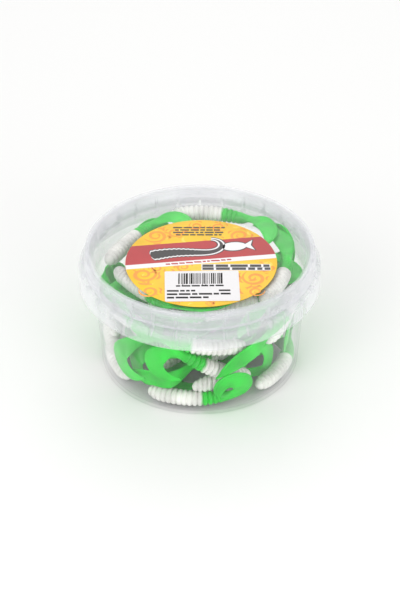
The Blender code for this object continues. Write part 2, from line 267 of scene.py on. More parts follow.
def add_noise(tree, place, size, detail):
    """A noise texture whose patches are this many millimetres across."""
    return add_node(tree, "ShaderNodeTexNoise", {"Scale": per_mm(size), "Detail": detail}, {"Vector": place})


def new_material(name):
    """A material with an empty node tree, and its tree."""
    material = bpy.data.materials.new(name)
    material.use_nodes = True
    material.node_tree.nodes.clear()
    return material, material.node_tree


def finish_material(tree, shader):
    add_node(tree, "ShaderNodeOutputMaterial", links={"Surface": shader})


def moulded_polypropylene(props):
    """Natural polypropylene, injection moulded: a thin milky veil, denser seen edge on, with a soft gloss."""
    material, tree = new_material("natural_polypropylene")
    place = add_node(tree, "ShaderNodeTexCoord").outputs["Object"]
    cloud = add_noise(tree, place, 14, 3.0)
    edge = add_node(tree, "ShaderNodeLayerWeight", {"Blend": 0.5})
    steep = add_node(tree, "ShaderNodeMath", {"operation": "POWER", 1: 3.0}, {0: edge.outputs["Facing"]})
    rim = add_node(tree, "ShaderNodeMath", {"operation": "MULTIPLY", 1: 0.26}, {0: steep.outputs[0]})
    spot = add_node(tree, "ShaderNodeSeparateXYZ", links={0: place})
    flat = add_node(tree, "ShaderNodeCombineXYZ", links={0: spot.outputs[0], 1: spot.outputs[1]})
    radius = add_node(tree, "ShaderNodeVectorMath", {"operation": "LENGTH"}, {0: flat.outputs[0]})
    outer = add_node(tree, "ShaderNodeMapRange", {"From Min": FROST_IN_R * MM, "From Max": FROST_FULL_R * MM},
                     {"Value": radius.outputs["Value"]})
    upper = add_node(tree, "ShaderNodeMapRange", {"From Min": FROST_LOW_Z * MM, "From Max": FROST_FULL_Z * MM},
                     {"Value": spot.outputs[2]})
    thick = add_node(tree, "ShaderNodeMath", {"operation": "MULTIPLY"},
                     {0: outer.outputs[0], 1: upper.outputs[0]})
    base = add_node(tree, "ShaderNodeMapRange", {"To Min": props.haze, "To Max": props.frost},
                    {"Value": thick.outputs[0]})
    patchy = add_node(tree, "ShaderNodeMapRange", {"To Min": 0.7, "To Max": 1.3},
                      {"Value": cloud.outputs["Fac"]})
    milk = add_node(tree, "ShaderNodeMath", {"operation": "MULTIPLY"},
                    {0: base.outputs[0], 1: patchy.outputs[0]})
    veil = add_node(tree, "ShaderNodeMath", {"operation": "ADD"}, {0: milk.outputs[0], 1: rim.outputs[0]})
    flow = add_noise(tree, place, 5, 2.0)
    waves = add_node(tree, "ShaderNodeBump", {"Strength": 0.12, "Distance": 0.15 * MM},
                     {"Height": flow.outputs["Fac"]})
    scatter = add_node(
        tree, "ShaderNodeBsdfPrincipled",
        {"Base Color": (*props.colour, 1.0), "Roughness": 0.32, "IOR": 1.49},
        {"Normal": waves.outputs["Normal"]},
    )
    clear = add_node(tree, "ShaderNodeBsdfTransparent", {"Color": (1.0, 1.0, 1.0, 1.0)})
    wall = add_node(tree, "ShaderNodeMixShader",
                    links={0: veil.outputs[0], 1: clear.outputs[0], 2: scatter.outputs[0]})
    grazing = add_node(tree, "ShaderNodeMath", {"operation": "POWER", 1: 5.0}, {0: edge.outputs["Facing"]})
    mirror = add_node(tree, "ShaderNodeMath", {"operation": "MULTIPLY_ADD", 1: 0.45, 2: 0.01},
                      {0: grazing.outputs[0]})
    gloss = add_node(tree, "ShaderNodeBsdfAnisotropic", {"Color": (1.0, 1.0, 1.0, 1.0), "Roughness": 0.14},
                     {"Normal": waves.outputs["Normal"]})
    shine = add_node(tree, "ShaderNodeMixShader",
                     links={0: mirror.outputs[0], 1: wall.outputs[0], 2: gloss.outputs[0]})
    finish_material(tree, shine.outputs[0])
    return material


def two_colour_plastisol(props):
    """Plastisol cast in two pours: soft and slightly oily, with a narrow bled line between body and tail colours."""
    material, tree = new_material("two_colour_plastisol")
    place = add_node(tree, "ShaderNodeTexCoord").outputs["Object"]
    along = add_node(tree, "ShaderNodeAttribute", {"attribute_name": "along"}).outputs["Fac"]
    bleed = add_noise(tree, place, 2.5, 2.0)
    uneven = add_node(tree, "ShaderNodeMath", {"operation": "MULTIPLY_ADD", 1: 1.6, 2: -0.8},
                      {0: bleed.outputs["Fac"]})
    where = add_node(tree, "ShaderNodeMath", {"operation": "ADD"}, {0: along, 1: uneven.outputs[0]})
    pour = add_node(tree, "ShaderNodeMapRange", {"From Min": 26.4, "From Max": 27.8},
                    {"Value": where.outputs[0]})
    batch = add_noise(tree, place, 11, 2.0)
    shade = add_node(tree, "ShaderNodeMapRange", {"From Min": 0.3, "From Max": 0.7, "To Min": 0.72, "To Max": 1.15},
                     {"Value": batch.outputs["Fac"]})
    two = add_node(tree, "ShaderNodeMix", {"data_type": "RGBA", 6: (*props.body, 1.0), 7: (*props.tail, 1.0)},
                   {0: pour.outputs[0]})
    tone = add_node(tree, "ShaderNodeHueSaturation",
                    links={"Value": shade.outputs[0], "Color": two.outputs[2]})
    grain = add_noise(tree, place, 0.35, 3.0)
    skin = add_node(tree, "ShaderNodeBump", {"Strength": 0.25, "Distance": 0.05 * MM},
                    {"Height": grain.outputs["Fac"]})
    shader = add_node(
        tree, "ShaderNodeBsdfPrincipled",
        {"Roughness": 0.36, "IOR": 1.47, "Subsurface Weight": 0.2, "Subsurface Scale": 1.2 * MM,
         "Subsurface Radius": (1.0, 1.0, 1.0), "Coat Weight": 0.08, "Coat Roughness": 0.25},
        {"Base Color": tone.outputs["Color"], "Normal": skin.outputs["Normal"]},
    )
    finish_material(tree, shader.outputs[0])
    return material


def printed_film(name, colour, spread=0.08):
    """Ink on gloss label film: nearly flat colour with a faint uneven lay of the ink."""
    material, tree = new_material(name)
    place = add_node(tree, "ShaderNodeTexCoord").outputs["Object"]
    lay = add_noise(tree, place, 18, 2.0)
    shade = add_node(tree, "ShaderNodeMapRange",
                     {"From Min": 0.3, "From Max": 0.7, "To Min": 1.0 - spread, "To Max": 1.0 + spread},
                     {"Value": lay.outputs["Fac"]})
    ink = add_node(tree, "ShaderNodeHueSaturation", {"Color": (*colour, 1.0)}, {"Value": shade.outputs[0]})
    film = add_noise(tree, place, 6, 2.0)
    ripple = add_node(tree, "ShaderNodeBump", {"Strength": 0.1, "Distance": 0.05 * MM},
                      {"Height": film.outputs["Fac"]})
    shader = add_node(tree, "ShaderNodeBsdfPrincipled",
                      {"Roughness": 0.38, "IOR": 1.5, "Coat Weight": 0.3, "Coat Roughness": 0.15},
                      {"Base Color": ink.outputs["Color"], "Normal": ripple.outputs["Normal"]})
    finish_material(tree, shader.outputs[0])
    return material


def thermal_paper(name, colour):
    """Uncoated sticker paper: a fine fibre mottle and no gloss."""
    material, tree = new_material(name)
    place = add_node(tree, "ShaderNodeTexCoord").outputs["Object"]
    fibre = add_noise(tree, place, 0.8, 4.0)
    shade = add_node(tree, "ShaderNodeMapRange", {"To Min": 0.94, "To Max": 1.04},
                     {"Value": fibre.outputs["Fac"]})
    tone = add_node(tree, "ShaderNodeHueSaturation", {"Color": (*colour, 1.0)}, {"Value": shade.outputs[0]})
    rough = add_node(tree, "ShaderNodeBump", {"Strength": 0.2, "Distance": 0.03 * MM},
                     {"Height": fibre.outputs["Fac"]})
    shader = add_node(tree, "ShaderNodeBsdfPrincipled", {"Roughness": 0.7, "IOR": 1.45},
                      {"Base Color": tone.outputs["Color"], "Normal": rough.outputs["Normal"]})
    finish_material(tree, shader.outputs[0])
    return material


MATERIALS = {}


def material_for(key):
    """The material by its key, made the first time it is asked for."""
    settings = bpy.context.scene
    makers = {
        "plastic": lambda: moulded_polypropylene(settings.worm_tub_tub),
        "worm": lambda: two_colour_plastisol(settings.worm_tub_worm),
        "ground": lambda: printed_film("label_ground_ink", settings.worm_tub_label.ground, 0.12),
        "scroll": lambda: printed_film("label_scroll_ink", settings.worm_tub_label.scroll, 0.12),
        "gold": lambda: printed_film("label_gold_ink", settings.worm_tub_label.gold, 0.08),
        "band": lambda: printed_film("label_band_ink", settings.worm_tub_label.band),
        "black": lambda: printed_film("label_black_ink", settings.worm_tub_label.black),
        "white": lambda: printed_film("label_white_ink", settings.worm_tub_label.white, 0.02),
        "paper": lambda: thermal_paper("sticker_paper", settings.worm_tub_label.white),
        "print": lambda: thermal_paper("sticker_thermal_print", settings.worm_tub_label.black),
    }
    if key not in MATERIALS:
        MATERIALS[key] = makers[key]()
    return MATERIALS[key]


# Modelling steps


def select_only(obj):
    """An operator acts on all that is selected, so this leaves one object selected and active."""
    bpy.ops.object.select_all(action="DESELECT")
    obj.select_set(True)
    bpy.context.view_layer.objects.active = obj


def start_piece(name):
    """A new mesh object of one vertex at the origin, in edit mode with the vertex selected."""
    bpy.ops.object.select_all(action="DESELECT")
    bpy.ops.mesh.primitive_plane_add(size=MM)
    obj = bpy.context.object
    obj.name = name
    obj.data.name = name
    bpy.ops.object.mode_set(mode="EDIT")
    bpy.ops.mesh.select_all(action="SELECT")
    bpy.ops.mesh.merge(type="CENTER")
    return obj


def draw(points):
    """Draws a chain of edges from the selected vertex, which first goes to the chain's start. Points in mm."""
    here = Vector(points[0]) * MM
    bpy.ops.transform.translate(value=here)
    for point in points[1:]:
        there = Vector(point) * MM
        bpy.ops.mesh.extrude_region_move(TRANSFORM_OT_translate={"value": there - here})
        here = there


def close_drawing():
    """Joins the chain's ends and fills it with a face."""
    bpy.ops.mesh.select_all(action="SELECT")
    bpy.ops.mesh.edge_face_add()


def clean_up():
    """Merges doubles, turns the faces outwards and leaves edit mode."""
    bpy.ops.mesh.select_all(action="SELECT")
    bpy.ops.mesh.remove_doubles(threshold=0.002 * MM)
    bpy.ops.mesh.normals_make_consistent(inside=False)
    bpy.ops.object.mode_set(mode="OBJECT")


def rounded(corners, steps=4):
    """An outline of (across, up) points, with an arc in place of each corner that gives a radius too."""
    points = []
    for i, corner in enumerate(corners):
        here = Vector(corner[:2])
        if len(corner) == 2:
            points.append(here)
            continue
        to_last = (Vector(corners[i - 1][:2]) - here).normalized()
        to_next = (Vector(corners[(i + 1) % len(corners)][:2]) - here).normalized()
        half = to_last.angle(to_next) / 2
        centre = here + (to_last + to_next).normalized() * corner[2] / math.sin(half)
        start = here + to_last * corner[2] / math.tan(half) - centre
        end = here + to_next * corner[2] / math.tan(half) - centre
        sweep = math.atan2(start.x * end.y - start.y * end.x, start.dot(end))
        for step in range(steps + 1):
            turned = Vector((start.x, start.y))
            turned.rotate(Matrix.Rotation(sweep * step / steps, 2))
            points.append(centre + turned)
    return points


def turn_outline(name, outline, facets, start=0.0, sweep=360.0):
    """A piece spun round the Z axis from an outline of (radius, height) points."""
    obj = start_piece(name)
    first = math.radians(start - 90.0)
    draw([(r * math.cos(first), r * math.sin(first), z) for r, z in outline])
    whole = sweep >= 360.0
    bpy.ops.mesh.select_all(action="SELECT")
    if not whole:
        close_drawing()
    bpy.ops.mesh.spin(steps=facets, angle=-math.radians(sweep), center=(0, 0, 0), axis=(0, 0, 1))
    clean_up()
    return obj


def apply_modifier(obj, kind, **settings):
    """Adds a modifier with its settings and applies it."""
    select_only(obj)
    bpy.ops.object.modifier_add(type=kind)
    modifier = obj.modifiers[-1]
    for name, value in settings.items():
        setattr(modifier, name, value)
    bpy.ops.object.modifier_apply(modifier=modifier.name)


def cut_or_join(obj, other, operation):
    """Applies a Boolean with another object, which is used up."""
    apply_modifier(obj, "BOOLEAN", operation=operation, solver="EXACT", object=other)
    bpy.data.objects.remove(other)


def shade(obj, degrees=35.0):
    select_only(obj)
    bpy.ops.object.shade_smooth_by_angle(angle=math.radians(degrees))


def paint(obj, key):
    obj.data.materials.clear()
    obj.data.materials.append(material_for(key))


def join(objects):
    select_only(objects[0])
    for obj in objects[1:]:
        obj.select_set(True)
    bpy.ops.object.join()
    return objects[0]


# Tub


def tub_outline():
    flare = RIM_BEAD_R - 0.7
    rim_in = RIM_BEAD_R - RIM_T
    return [
        (0.0, FOOT_H),
        (FOOT_R - FOOT_W - 0.4, FOOT_H, 0.15),
        (FOOT_R - FOOT_W, 0.0, 0.2),
        (FOOT_R, 0.0, 1.6),
        (wall_r(LEDGE_Z - LEDGE_T), LEDGE_Z - LEDGE_T, 0.4),
        (COLLAR_R - COLLAR_T, LEDGE_Z - LEDGE_T, 0.5),
        (COLLAR_R - COLLAR_T, LEDGE_Z - COLLAR_H, 0.3),
        (COLLAR_R, LEDGE_Z - COLLAR_H, 0.4),
        (COLLAR_R, LEDGE_Z, 1.1),
        (wall_r(LEDGE_Z), LEDGE_Z, 0.4),
        (wall_r(NECK_FLARE_Z), NECK_FLARE_Z, 1.0),
        (flare, RIM_Z - 1.8, 0.2),
        (RIM_BEAD_R, RIM_Z - 1.4, 0.25),
        (RIM_BEAD_R, RIM_Z, 0.5),
        (rim_in, RIM_Z, 0.4),
        (wall_in(NECK_FLARE_Z), NECK_FLARE_Z, 1.5),
        (wall_in(FLOOR_Z), FLOOR_Z, 1.6),
        (0.0, FLOOR_Z),
    ]


def gusset_outline():
    inset = WALL_T / 2
    return [
        (wall_r(LEDGE_Z - LEDGE_T) - inset, LEDGE_Z - LEDGE_T - 0.1),
        (COLLAR_R - COLLAR_T + inset, LEDGE_Z - RIB_DROP - LEDGE_T),
        (COLLAR_R - COLLAR_T + inset, LEDGE_Z - LEDGE_T / 2),
        (RIB_R, LEDGE_Z - LEDGE_T / 2),
        (RIB_R, RIM_Z - 2.6),
        (RIB_R - 1.7, RIM_Z - 2.6),
        (wall_r(NECK_FLARE_Z) - inset, NECK_FLARE_Z),
    ]


def make_gussets():
    """The upright webs between wall and collar: one is drawn and thickened, then turned round the tub."""
    obj = start_piece("gussets")
    draw([(0.0, -r, z) for r, z in gusset_outline()])
    close_drawing()
    bpy.ops.mesh.extrude_region_move(TRANSFORM_OT_translate={"value": (RIB_T * MM, 0, 0)})
    bpy.ops.mesh.select_all(action="SELECT")
    bpy.ops.transform.translate(value=(-RIB_T / 2 * MM, 0, 0))
    bpy.ops.mesh.spin(steps=RIB_COUNT - 1, dupli=True, angle=TURN * (RIB_COUNT - 1) / RIB_COUNT,
                      center=(0, 0, 0), axis=(0, 0, 1))
    clean_up()
    return obj


class WORMTUB_OT_tub(bpy.types.Operator):
    """Turn the tub, join its gussets and cut the tear tab's window"""

    bl_idname = "wormtub.tub"
    bl_label = "Tub"

    def execute(self, context):
        facets = context.scene.worm_tub_tub.facets
        tub = turn_outline("tub_moulding", rounded(tub_outline()), facets)
        cut_or_join(tub, make_gussets(), "UNION")
        low, high = LEDGE_Z - COLLAR_H - 1.0, LEDGE_Z - LEDGE_T
        inner = COLLAR_R - COLLAR_T - TAB_TOP_GAP
        window = [(inner, low), (COLLAR_R + 1.0, low), (COLLAR_R + 1.0, high), (inner, high)]
        start = TAB_START - math.degrees(TAB_HINGE_GAP / COLLAR_R)
        cutter = turn_outline("tab_window", window, TAB_FACETS, start, TAB_SLOT_END - start)
        cut_or_join(tub, cutter, "DIFFERENCE")
        shade(tub)
        paint(tub, "plastic")
        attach(tub, "tub")
        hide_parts("tub")
        return {"FINISHED"}


class WORMTUB_OT_tear_tab(bpy.types.Operator):
    """Turn the tear tab and raise the grip ridges on its free end"""

    bl_idname = "wormtub.tear_tab"
    bl_label = "Tear tab"

    def execute(self, context):
        low, high = LEDGE_Z - COLLAR_H, LEDGE_Z - LEDGE_T - TAB_TOP_GAP
        inner = COLLAR_R - COLLAR_T
        outline = [(inner, low, 0.2), (COLLAR_R, low, 0.3), (COLLAR_R, high, 0.2), (inner, high, 0.2)]
        tab = turn_outline("tear_tab_moulding", rounded(outline, 3), TAB_FACETS, TAB_START, TAB_END - TAB_START)
        ridge = [(COLLAR_R - 0.3, low + 2.0), (COLLAR_R + 0.35, low + 2.4), (COLLAR_R + 0.35, high - 2.4),
                 (COLLAR_R - 0.3, high - 2.0)]
        for number in range(GRIP_RIDGES):
            grip = turn_outline("grip_ridge", ridge, 2, TAB_END - 1.6 - GRIP_PITCH * number, GRIP_SWEEP)
            cut_or_join(tab, grip, "UNION")
        shade(tab)
        paint(tab, "plastic")
        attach(tab, "tear_tab")
        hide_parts("tear_tab")
        return {"FINISHED"}


# Lid


def lid_outline():
    skirt_in = RIM_BEAD_R + SKIRT_GAP
    roof_z = RIM_Z + LID_LAND
    under_z = PANEL_Z - PANEL_T
    return [
        (0.0, under_z),
        (PANEL_R - 0.3, under_z, 0.8),
        (PANEL_R + 1.1, under_z + 0.5, 0.9),
        (CREST_IN_R - 0.2, roof_z - 0.35, 0.15),
        (CREST_IN_R + 0.1, roof_z, 0.1),
        (skirt_in - 0.4, roof_z, 0.1),
        (skirt_in, roof_z - 0.5, 0.2),
        (skirt_in + 0.4, SKIRT_Z, 0.2),
        (skirt_in + 0.4 + SKIRT_T, SKIRT_Z, 0.25),
        (skirt_in + 0.3 + SKIRT_T, PANEL_Z - 0.2, 0.1),
        (skirt_in + SKIRT_T, PANEL_Z + 0.2, 0.1),
        (skirt_in + SKIRT_T - 0.25, LID_TOP_Z - 0.9, 0.3),
        (CREST_OUT_R + 0.1, LID_TOP_Z, 0.3),
        (CREST_IN_R - 0.1, LID_TOP_Z, 0.3),
        (CREST_IN_R - 0.7, LID_TOP_Z - 0.6, 0.3),
        (PANEL_R + 0.6, PANEL_Z + 0.1, 0.6),
        (PANEL_R - 0.8, PANEL_Z, 0.4),
        (0.0, PANEL_Z),
    ]


class WORMTUB_OT_lid(bpy.types.Operator):
    """Turn the lid with its sunken panel, crest and skirt"""

    bl_idname = "wormtub.lid"
    bl_label = "Lid"

    def execute(self, context):
        lid = turn_outline("lid_moulding", rounded(lid_outline()), context.scene.worm_tub_tub.facets)
        shade(lid)
        paint(lid, "plastic")
        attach(lid, "lid")
        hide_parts("lid")
        return {"FINISHED"}


# Labels


def placed(points, x, y, turn):
    """Flat points turned and moved on the lid."""
    c, s = math.cos(math.radians(turn)), math.sin(math.radians(turn))
    return [(x + c * u - s * v, y + s * u + c * v) for u, v in points]


def flat_shape(name, points, z, key):
    obj = start_piece(name)
    draw([(x, y, z) for x, y in points])
    close_drawing()
    bpy.ops.mesh.quads_convert_to_tris(ngon_method="BEAUTY")
    clean_up()
    select_only(obj)
    if obj.data.polygons[0].normal.z < 0:
        obj.data.flip_normals()
    paint(obj, key)
    return obj


def boxes(name, rows, x, y, turn, z, key):
    """Flat boxes, given as (left, low, right, high), on one layer of ink."""
    obj = start_piece(name)
    bpy.ops.mesh.delete(type="VERT")
    for left, low, right, high in rows:
        (u, v), = placed([((left + right) / 2, (low + high) / 2)], x, y, turn)
        centre = (u * MM, v * MM, z * MM)
        bpy.ops.mesh.select_all(action="DESELECT")
        bpy.ops.mesh.primitive_plane_add(size=MM, location=centre, rotation=(0, 0, math.radians(turn)))
        bpy.ops.transform.resize(value=(right - left, high - low, 1.0), center_override=centre,
                                 orient_matrix=turn_matrix(turn), orient_type="LOCAL")
    bpy.ops.object.mode_set(mode="OBJECT")
    paint(obj, key)
    return obj


def turn_matrix(turn):
    c, s = math.cos(math.radians(turn)), math.sin(math.radians(turn))
    return ((c, s, 0), (-s, c, 0), (0, 0, 1))


def greeked(left, right, low, height, seed):
    """Boxes that stand in for a line of print: words of uneven lengths."""
    chance = Random(seed)
    rows = []
    while left < right - height:
        word = min(right, left + height * chance.uniform(1.2, 4.5))
        rows.append((left, low, word, low + height))
        left = word + height * 0.55
    return rows


def ribbon(path, widths):
    """Outline of a band along a path of points, with a half width at each."""
    sides = ([], [])
    for i, (x, y) in enumerate(path):
        before, after = path[max(0, i - 1)], path[min(len(path) - 1, i + 1)]
        along = Vector((after[0] - before[0], after[1] - before[1])).normalized()
        sides[0].append((x - along.y * widths[i], y + along.x * widths[i]))
        sides[1].append((x + along.y * widths[i], y - along.x * widths[i]))
    return sides[0] + sides[1][::-1]


def scroll(x, y, size, turn, way):
    """Outline of a curled leaf: a spiral band that swells and tapers."""
    path, widths = [], []
    for i in range(37):
        t = i / 36
        r = size * (1.0 - 0.82 * t ** 0.8)
        angle = math.radians(turn) + way * 3.3 * math.pi * t ** 1.15
        path.append((x + r * math.cos(angle), y + r * math.sin(angle)))
        widths.append(max(0.06, 0.17 * size * math.sin(math.pi * min(1.0, t * 1.02)) ** 0.7 * (1.0 - 0.45 * t)))
    return ribbon(path, widths)


def leaf(x, y, length, turn, way):
    """Outline of a bent drop."""
    path, widths = [], []
    for i in range(13):
        t = i / 12
        angle = math.radians(turn) + way * 1.1 * t
        path.append((x + length * t * math.cos(angle), y + length * t * math.sin(angle)))
        widths.append(max(0.05, 0.16 * length * math.sin(math.pi * t) ** 0.8))
    return ribbon(path, widths)


def chord_band(low, high):
    """Outline of the strip of the label's disc between two heights across it."""
    points = []
    steps = 14
    radius = LABEL_R - 0.05
    first, last = math.asin(low / radius), math.asin(high / radius)
    for i in range(steps + 1):
        angle = first + (last - first) * i / steps
        points.append((radius * math.cos(angle), radius * math.sin(angle)))
    return points + [(-x, y) for x, y in points[::-1]]


def worm_emblem(grow):
    """Outline of a generic curly-tail worm, larger all round by grow."""
    path, widths = [], []
    for i in range(41):
        t = i / 40
        path.append((-24.0 + 22.0 * t, 8.6 + 1.2 * math.sin(math.pi * t)))
        nose = math.sqrt(max(0.0, 1.0 - (1.0 - min(1.0, t / 0.12)) ** 2))
        widths.append(grow + (3.6 - 1.5 * t) * (0.25 + 0.75 * nose) * (1.0 - 0.09 * math.cos(20 * math.pi * t)))
    x, y = path[-1]
    heading = -0.15
    for i in range(1, 41):
        t = i / 40
        heading += 0.118 * smooth(t * 1.4)
        x += 0.62 * math.cos(heading)
        y += 0.62 * math.sin(heading)
        path.append((x, y))
        widths.append(grow + max(0.25, 2.1 * (1 - t) ** 0.8))
    return ribbon(path, widths)


def fish_emblem(grow):
    """Outline of a generic fish facing left, larger all round by grow."""
    points = []
    for i in range(33):
        angle = math.pi * (1 - i / 16)
        points.append((18.0 + (6.0 + grow) * math.cos(angle), 11.4 + (3.4 + grow) * math.sin(angle)))
    tail = [(23.6, 12.4 + grow), (27.6 + grow, 15.6 + grow), (26.2 + grow, 11.4), (27.6 + grow, 7.2 - grow),
            (23.6, 10.4 - grow)]
    half = len(points) // 2
    return points[: half - 1] + tail + points[half + 2 : -1]


def on_label(points):
    """Whether a printed shape stays on the label's disc."""
    return all(math.hypot(x - LABEL_X, y - LABEL_Y) < LABEL_R - INK_EDGE for x, y in points)


# Each scroll's place, size, turn and the way it curls
SCROLLS = (
    (-22.0, 16.5, 6.4, 200, 1), (-12.5, 19.5, 4.4, 20, -1), (20.0, 17.0, 5.6, 300, -1),
    (-2.0, 25.6, 4.0, 120, 1), (9.5, 24.6, 4.2, 330, -1), (-27.5, -17.0, 7.2, 60, -1),
    (-24.5, -31.0, 5.4, 150, 1), (-31.0, -6.8, 3.6, 240, 1), (-21.0, -11.5, 3.8, 30, 1),
    (26.5, -20.0, 6.8, 120, 1), (27.0, -31.0, 4.4, 10, -1), (5.0, -41.2, 2.2, 90, 1),
    (-8.0, -10.6, 4.2, 330, -1), (-11.0, -40.6, 2.0, 200, -1), (12.5, -16.0, 3.4, 70, -1),
    (32.0, -12.5, 3.2, 220, -1),
)


class WORMTUB_OT_label(bpy.types.Operator):
    """Cut the round label and lay its inks on it, one thin layer on another"""

    bl_idname = "wormtub.label"
    bl_label = "Lid label"

    def execute(self, context):
        low = PANEL_Z + PAPER_GAP
        top = low + PAPER_T
        bpy.ops.object.select_all(action="DESELECT")
        bpy.ops.mesh.primitive_cylinder_add(vertices=160, radius=LABEL_R * MM, depth=PAPER_T * MM,
                                            location=(LABEL_X * MM, LABEL_Y * MM, (low + top) / 2 * MM))
        label = bpy.context.object
        label.name = "printed_label"
        bpy.ops.object.transform_apply(location=True)
        apply_modifier(label, "BEVEL", width=0.04 * MM, segments=2, limit_method="ANGLE")
        paint(label, "ground")
        at = (LABEL_X, LABEL_Y, LABEL_TURN)
        layers = [label]
        for number, (x, y, size, turn, way) in enumerate(SCROLLS):
            layers.append(flat_shape("scroll", scroll(x, y, size, turn, way), top + INK_T, "scroll"))
            for extra in range(LEAVES_PER_SCROLL):
                angle = turn + way * (60 + 75 * extra)
                u = x + 1.02 * size * math.cos(math.radians(angle))
                v = y + 1.02 * size * math.sin(math.radians(angle))
                shape = leaf(u, v, 0.62 * size, angle + 50 * way, way)
                if on_label(shape):
                    layers.append(flat_shape("leaf", shape, top + INK_T, "scroll"))
        chance = Random(3)
        for _ in range(SPRIG_TRIES):
            x, y = chance.uniform(-LABEL_R, LABEL_R) + LABEL_X, chance.uniform(-LABEL_R, LABEL_R) + LABEL_Y
            shape = leaf(x, y, chance.uniform(2.2, 4.6), chance.uniform(0, 360), chance.choice((-1, 1)))
            if on_label(shape):
                key = "scroll" if chance.random() < 0.7 else "gold"
                layers.append(flat_shape("sprig", shape, top + (0.5 if key == "scroll" else 0.7) * INK_T, key))
        layers.append(flat_shape("band", placed(chord_band(2.1, 18.2), *at), top + 2 * INK_T, "band"))
        layers.append(flat_shape("strip", placed(chord_band(-1.4, 2.1), *at), top + 2 * INK_T, "white"))
        for name, points, layer, key in (
            ("worm_edge", worm_emblem(1.5), 3, "black"),
            ("worm_ring", worm_emblem(0.9), 4, "white"),
            ("worm", worm_emblem(0.0), 5, "black"),
            ("fish_edge", fish_emblem(0.9), 3, "black"),
            ("fish", fish_emblem(0.2), 4, "white"),
        ):
            layers.append(flat_shape(name, placed(points, *at), top + layer * INK_T, key))
        layers.append(boxes("motto", greeked(-17.5, 16.0, -0.2, 1.1, 3), *at, top + 3 * INK_T, "band"))
        fine = []
        for line, (left, right) in enumerate(((-13.5, 12.5), (-12.5, 11.5), (-13.5, 13.0), (-12.0, 11.5))):
            fine += greeked(left, right, 23.4 - 2.15 * line, 1.15, line)
        layers.append(boxes("fine_print", fine, 0, 0, 0, top + 3 * INK_T, "black"))
        note = greeked(1.2, 34.0, -10.5, 2.0, 11) + greeked(1.2, 34.4, -13.1, 2.0, 12)
        halo = [(0.7, -10.9, 34.3, -8.1), (0.7, -13.5, 34.5, -10.7)]
        layers.append(boxes("note_halo", halo, 0, 0, 0, top + 2 * INK_T, "white"))
        layers.append(boxes("note", note, 0, 0, 0, top + 3 * INK_T, "black"))
        label = join(layers)
        shade(label, 30.0)
        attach(label, "lid")
        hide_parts("lid_label")
        return {"FINISHED"}


class WORMTUB_OT_sticker(bpy.types.Operator):
    """Cut the small white sticker and print its bars and lines"""

    bl_idname = "wormtub.sticker"
    bl_label = "Bar-code sticker"

    def execute(self, context):
        low = PANEL_Z + 2 * PAPER_GAP + PAPER_T
        top = low + PAPER_T
        at = (STICKER_X, STICKER_Y, STICKER_TURN)
        w, d = STICKER_W / 2, STICKER_D / 2
        corners = rounded([(-w, -d, 0.8), (w, -d, 0.8), (w, d, 0.8), (-w, d, 0.8)])
        sticker = start_piece("bar_code_sticker")
        draw([(x, y, low) for x, y in placed(corners, *at)])
        close_drawing()
        bpy.ops.mesh.extrude_region_move(TRANSFORM_OT_translate={"value": (0, 0, PAPER_T * MM)})
        clean_up()
        paint(sticker, "paper")
        bars = []
        left = -11.4
        chance = Random(5)
        while left < 9.8:
            width = BAR_W * chance.choice((1, 1, 2, 3))
            bars.append((left, 1.6 if chance.random() < 0.9 else 0.6, left + width, 10.6))
            left += width + BAR_W * chance.choice((1, 1, 2))
        lines = greeked(-12.6, 10.4, -0.5, 1.2, 21) + greeked(-17.0, -3.4, -4.6, 1.3, 22)
        lines += greeked(8.0, 14.8, -4.6, 1.3, 23) + greeked(-17.0, 14.8, -7.4, 1.4, 24)
        lines += greeked(-17.0, 4.6, -10.2, 1.4, 25)
        printed = boxes("bars", bars + lines, *at, top + INK_T, "print")
        sticker = join([sticker, printed])
        shade(sticker, 30.0)
        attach(sticker, "lid")
        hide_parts("barcode_sticker")
        return {"FINISHED"}


# Shape of a worm


def body_radius(u):
    """Radius of the body without its ribs, u from 0 at the nose to 1 at the tail's root."""
    nose = math.sqrt(max(0.0, 1.0 - (1.0 - min(1.0, u / 0.2)) ** 2))
    taper = 1.0 - 0.28 * max(0.0, (u - 0.55) / 0.45) ** 1.8
    return BODY_R * (0.2 + 0.8 * nose) * taper


def tail_half_width(t):
    """Half width of the tail, t from 0 at the root to 1 at the tip."""
    root = body_radius(1.0) * (1.0 - smooth(t / 0.3))
    swell = smooth(t / 0.38) * (1.0 - max(0.0, (t - 0.45) / 0.55) ** 2.2)
    return max(TIP_HALF_W, root * 0.8 + TAIL_HALF_W * swell)


def tail_half_thickness(t):
    return max(TAIL_HALF_T, body_radius(1.0) * (1.0 - smooth(t / 0.25)))


def ribbed_outline(pitch, depth):
    """Outline of the body as (along, radius) points: round ribs with narrow grooves between them."""
    points = [(-0.3, 0.0), (-0.2, 0.55), (0.0, 0.95)]
    step = pitch / RIB_STEPS
    for i in range(1, int(BODY_L / step)):
        x = i * step
        groove = (1.0 - abs(math.sin(math.pi * x / pitch))) ** 1.4
        fade = smooth((x - 0.3 * pitch) / (0.6 * pitch)) * smooth((BODY_L - 0.2 * pitch - x) / pitch)
        points.append((x, 0.975 * body_radius(x / BODY_L) - depth * groove * fade))
    return points


def pick(obj, chosen):
    """Selects the vertices of the edited mesh whose place in mm passes a test."""
    bpy.ops.mesh.select_mode(type="VERT")
    bpy.ops.mesh.select_all(action="DESELECT")
    mesh = bmesh.from_edit_mesh(obj.data)
    for vert in mesh.verts:
        vert.select = bool(chosen(*(vert.co / MM)))
    mesh.select_flush(True)
    bmesh.update_edit_mesh(obj.data)


